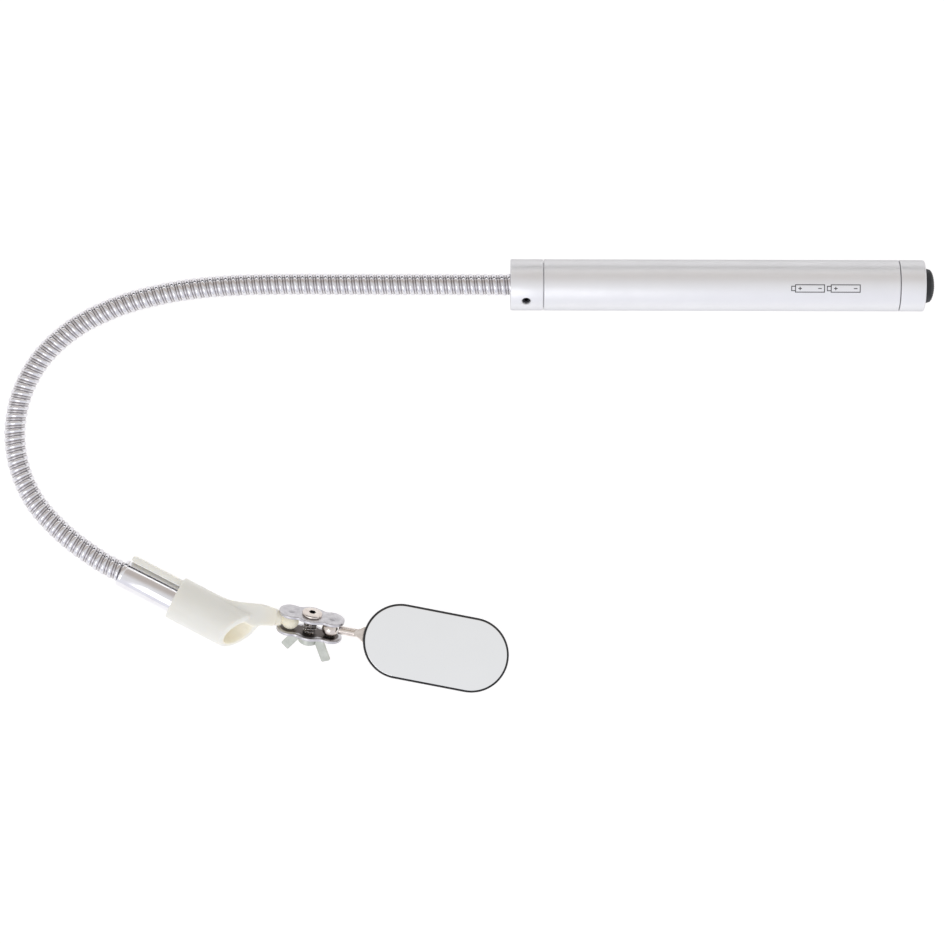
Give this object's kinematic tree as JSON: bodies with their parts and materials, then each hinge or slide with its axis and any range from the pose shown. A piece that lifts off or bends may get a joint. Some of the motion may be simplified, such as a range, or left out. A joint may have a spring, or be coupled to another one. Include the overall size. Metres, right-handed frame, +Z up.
{
  "type": "gooseneck inspection mirror",
  "caption": "Obround inspection mirror on a double ball clamp and clip, on the lit head of a flexible gooseneck with a tubular battery handle and tail button.",
  "frame": {"origin": "under the middle of the whole object, on the surface it lies on", "axes": "+X along the handle from the neck to the button, +Y across the lying object towards the handle, +Z up"},
  "size_m": [0.3156, 0.1474, 0.0174],
  "materials": {
    "anodised_aluminium": "satin anodised",
    "black_steel": "black oxide",
    "circuit_board": "solder mask",
    "brass": "bright",
    "cell_jacket": "dark printed sleeve on a filled can",
    "spring_steel": "drawn wire",
    "black_plastic": "moulded",
    "white_plastic": "moulded",
    "button_rubber": "moulded with fine pyramids",
    "hose_chrome": "bright plated strip",
    "cable_jacket": "extruded",
    "head_chrome": "polished",
    "led_epoxy": "clear",
    "milky_nylon": "translucent satin",
    "plate_nickel": "dull nickel plate",
    "warm_nickel": "bright nickel plate",
    "black_rim": "satin black",
    "silvered_glass": "polished"
  },
  "bodies": {
    "handle": {"handle_tube": "anodised_aluminium", "front_collar": "anodised_aluminium", "neck_set_screw": "black_steel", "driver_board": "circuit_board", "front_contact": "brass", "battery_front": "cell_jacket", "battery_rear": "cell_jacket", "hose_section_01": "hose_chrome", "led_cable": "cable_jacket"},
    "switch_unit": {"battery_spring": "spring_steel", "switch_retainer": "brass", "switch_body": "black_plastic", "switch_spring": "spring_steel"},
    "tail_cap": {"tail_cap": "anodised_aluminium"},
    "button": {"button_boot": "button_rubber", "switch_plunger": "white_plastic"},
    "neck_02": {"hose_section_02": "hose_chrome"},
    "neck_03": {"hose_section_03": "hose_chrome"},
    "neck_04": {"hose_section_04": "hose_chrome"},
    "neck_05": {"hose_section_05": "hose_chrome"},
    "neck_06": {"hose_section_06": "hose_chrome"},
    "neck_07": {"hose_section_07": "hose_chrome"},
    "neck_08": {"hose_section_08": "hose_chrome"},
    "neck_09": {"hose_section_09": "hose_chrome"},
    "neck_10": {"hose_section_10": "hose_chrome"},
    "neck_11": {"hose_section_11": "hose_chrome"},
    "neck_12": {"hose_section_12": "hose_chrome"},
    "neck_13": {"hose_section_13": "hose_chrome"},
    "neck_14": {"hose_section_14": "hose_chrome"},
    "neck_15": {"hose_section_15": "hose_chrome"},
    "neck_16": {"hose_section_16": "hose_chrome"},
    "head": {"hose_section_17": "hose_chrome", "led_housing": "head_chrome", "led_holder": "white_plastic", "led_lamp": "led_epoxy"},
    "clip": {"mirror_clip": "milky_nylon"},
    "clip_ball": {"clip_ball": "milky_nylon"},
    "clamp": {"clamp_plate_upper": "plate_nickel", "clamp_plate_lower": "plate_nickel", "clamp_screw": "warm_nickel", "clamp_spring": "spring_steel"},
    "wing_nut": {"wing_nut": "warm_nickel"},
    "mirror_ball": {"mirror_ball": "warm_nickel"},
    "mirror": {"mirror_stem": "warm_nickel", "mirror_frame": "black_rim", "mirror_glass": "silvered_glass"}
  },
  "joints": [
    {"name": "tail_cap_travel", "type": "slide", "parent": "handle", "child": "switch_unit", "axis": [1, 0, 0], "range_m": [0, 0.005]},
    {"name": "tail_cap_turn", "type": "hinge", "parent": "switch_unit", "child": "tail_cap", "pos_m": [0.15421, 0.06499, 0.00871], "axis": [1, 0, 0], "range_deg": [0, 1440.5]},
    {"name": "button_press", "type": "slide", "parent": "tail_cap", "child": "button", "axis": [-1, 0, 0], "range_m": [0, 0.0012], "stiffness_N_per_m": 1200, "springref_m": -0.0004, "deforming": ["switch_spring"]},
    {"name": "neck_lift", "type": "hinge", "parent": "handle", "child": "neck_02", "pos_m": [0.00521, 0.06499, 0.00871], "axis": [0, 1, 0], "range_deg": [0, 20], "deforming": ["led_cable"]},
    {"name": "neck_swing", "type": "hinge", "parent": "neck_02", "child": "neck_03", "pos_m": [-0.01079, 0.06499, 0.00871], "axis": [0, 0, 1], "range_deg": [-18, 18], "deforming": ["led_cable"]},
    {"name": "neck_lift_2", "type": "hinge", "parent": "neck_03", "child": "neck_04", "pos_m": [-0.02679, 0.06499, 0.00871], "axis": [0, 1, 0], "range_deg": [0, 20]},
    {"name": "neck_swing_2", "type": "hinge", "parent": "neck_04", "child": "neck_05", "pos_m": [-0.04279, 0.06499, 0.00871], "axis": [0, 0, 1], "range_deg": [-18, 18]},
    {"name": "neck_lift_3", "type": "hinge", "parent": "neck_05", "child": "neck_06", "pos_m": [-0.05879, 0.06499, 0.00871], "axis": [-0.0002, 1, 0], "range_deg": [0, 20]},
    {"name": "neck_curl_2", "type": "hinge", "parent": "neck_06", "child": "neck_07", "pos_m": [-0.07479, 0.06476, 0.00871], "axis": [0, 0, 1], "range_deg": [-3.04, 0.47]},
    {"name": "neck_curl_3", "type": "hinge", "parent": "neck_07", "child": "neck_08", "pos_m": [-0.09075, 0.06369, 0.00871], "axis": [0, 0, 1], "range_deg": [-5.41, 0.82]},
    {"name": "neck_curl_4", "type": "hinge", "parent": "neck_08", "child": "neck_09", "pos_m": [-0.10653, 0.06111, 0.00871], "axis": [0, 0, 1], "range_deg": [-7.67, 1.16]},
    {"name": "neck_curl_5", "type": "hinge", "parent": "neck_09", "child": "neck_10", "pos_m": [-0.12182, 0.05646, 0.00871], "axis": [0, 0, 1], "range_deg": [-11.38, 1.72]},
    {"name": "neck_curl_6", "type": "hinge", "parent": "neck_10", "child": "neck_11", "pos_m": [-0.13588, 0.0489, 0.00871], "axis": [0, 0, 1], "range_deg": [-16.67, 2.51]},
    {"name": "neck_curl_7", "type": "hinge", "parent": "neck_11", "child": "neck_12", "pos_m": [-0.14714, 0.03765, 0.00871], "axis": [0, 0, 1], "range_deg": [-21.11, 3.18]},
    {"name": "neck_curl", "type": "hinge", "parent": "neck_12", "child": "neck_13", "pos_m": [-0.1536, 0.02311, 0.00871], "axis": [0, 0, 1], "range_deg": [-21.98, 3.3], "deforming": ["led_cable"]},
    {"name": "neck_curl_8", "type": "hinge", "parent": "neck_13", "child": "neck_14", "pos_m": [-0.15414, 0.00722, 0.00871], "axis": [0, 0, 1], "range_deg": [-21.99, 3.31]},
    {"name": "neck_curl_9", "type": "hinge", "parent": "neck_14", "child": "neck_15", "pos_m": [-0.1487, -0.00772, 0.00871], "axis": [0, 0, 1], "range_deg": [-21.01, 3.16]},
    {"name": "neck_curl_10", "type": "hinge", "parent": "neck_15", "child": "neck_16", "pos_m": [-0.13824, -0.01974, 0.00871], "axis": [0, 0, 1], "range_deg": [-12.31, 1.86]},
    {"name": "neck_nod", "type": "hinge", "parent": "neck_16", "child": "head", "pos_m": [-0.12542, -0.02929, 0.00871], "axis": [-0.5973, -0.802, 0], "range_deg": [0, 20], "deforming": ["led_cable"]},
    {"name": "clip_turn", "type": "hinge", "parent": "head", "child": "clip", "pos_m": [-0.11831, -0.03297, 0.00871], "axis": [0.8878, -0.4602, 0], "continuous": true},
    {"name": "clamp_roll", "type": "hinge", "parent": "clip", "child": "clip_ball", "pos_m": [-0.06088, -0.04928, 0.00871], "axis": [0.982, -0.1891, 0], "range_deg": [-60, 60]},
    {"name": "clamp_swing", "type": "hinge", "parent": "clip_ball", "child": "clamp", "pos_m": [-0.06088, -0.04928, 0.00871], "axis": [0.1685, 0.8749, 0.454], "range_deg": [-45, 45]},
    {"name": "wing_nut_turn", "type": "hinge", "parent": "clamp", "child": "wing_nut", "pos_m": [-0.054, -0.05061, 0.00871], "axis": [0.1685, 0.8749, 0.454], "range_deg": [-180, 180]},
    {"name": "mirror_swing", "type": "hinge", "parent": "clamp", "child": "mirror_ball", "pos_m": [-0.04713, -0.05193, 0.00871], "axis": [0.1685, 0.8749, 0.454], "range_deg": [-45, 45]},
    {"name": "mirror_roll", "type": "hinge", "parent": "mirror_ball", "child": "mirror", "pos_m": [-0.04713, -0.05193, 0.00871], "axis": [0.9806, -0.1888, -0.0523], "range_deg": [-90, 90]}
  ],
  "couplings": [
    {"joint": "tail_cap_turn", "follows": "tail_cap_travel", "rad_per_m": 5026.5},
    {"joint": "neck_lift_2", "follows": "neck_lift", "ratio": 1},
    {"joint": "neck_swing_2", "follows": "neck_swing", "ratio": 1},
    {"joint": "neck_lift_3", "follows": "neck_lift", "ratio": 1},
    {"joint": "neck_curl_2", "follows": "neck_curl", "ratio": 0.138},
    {"joint": "neck_curl_3", "follows": "neck_curl", "ratio": 0.2456},
    {"joint": "neck_curl_4", "follows": "neck_curl", "ratio": 0.3483},
    {"joint": "neck_curl_5", "follows": "neck_curl", "ratio": 0.5174},
    {"joint": "neck_curl_6", "follows": "neck_curl", "ratio": 0.7581},
    {"joint": "neck_curl_7", "follows": "neck_curl", "ratio": 0.9598},
    {"joint": "neck_curl_8", "follows": "neck_curl", "ratio": 1},
    {"joint": "neck_curl_9", "follows": "neck_curl", "ratio": 0.9552},
    {"joint": "neck_curl_10", "follows": "neck_curl", "ratio": 0.5595}
  ]
}
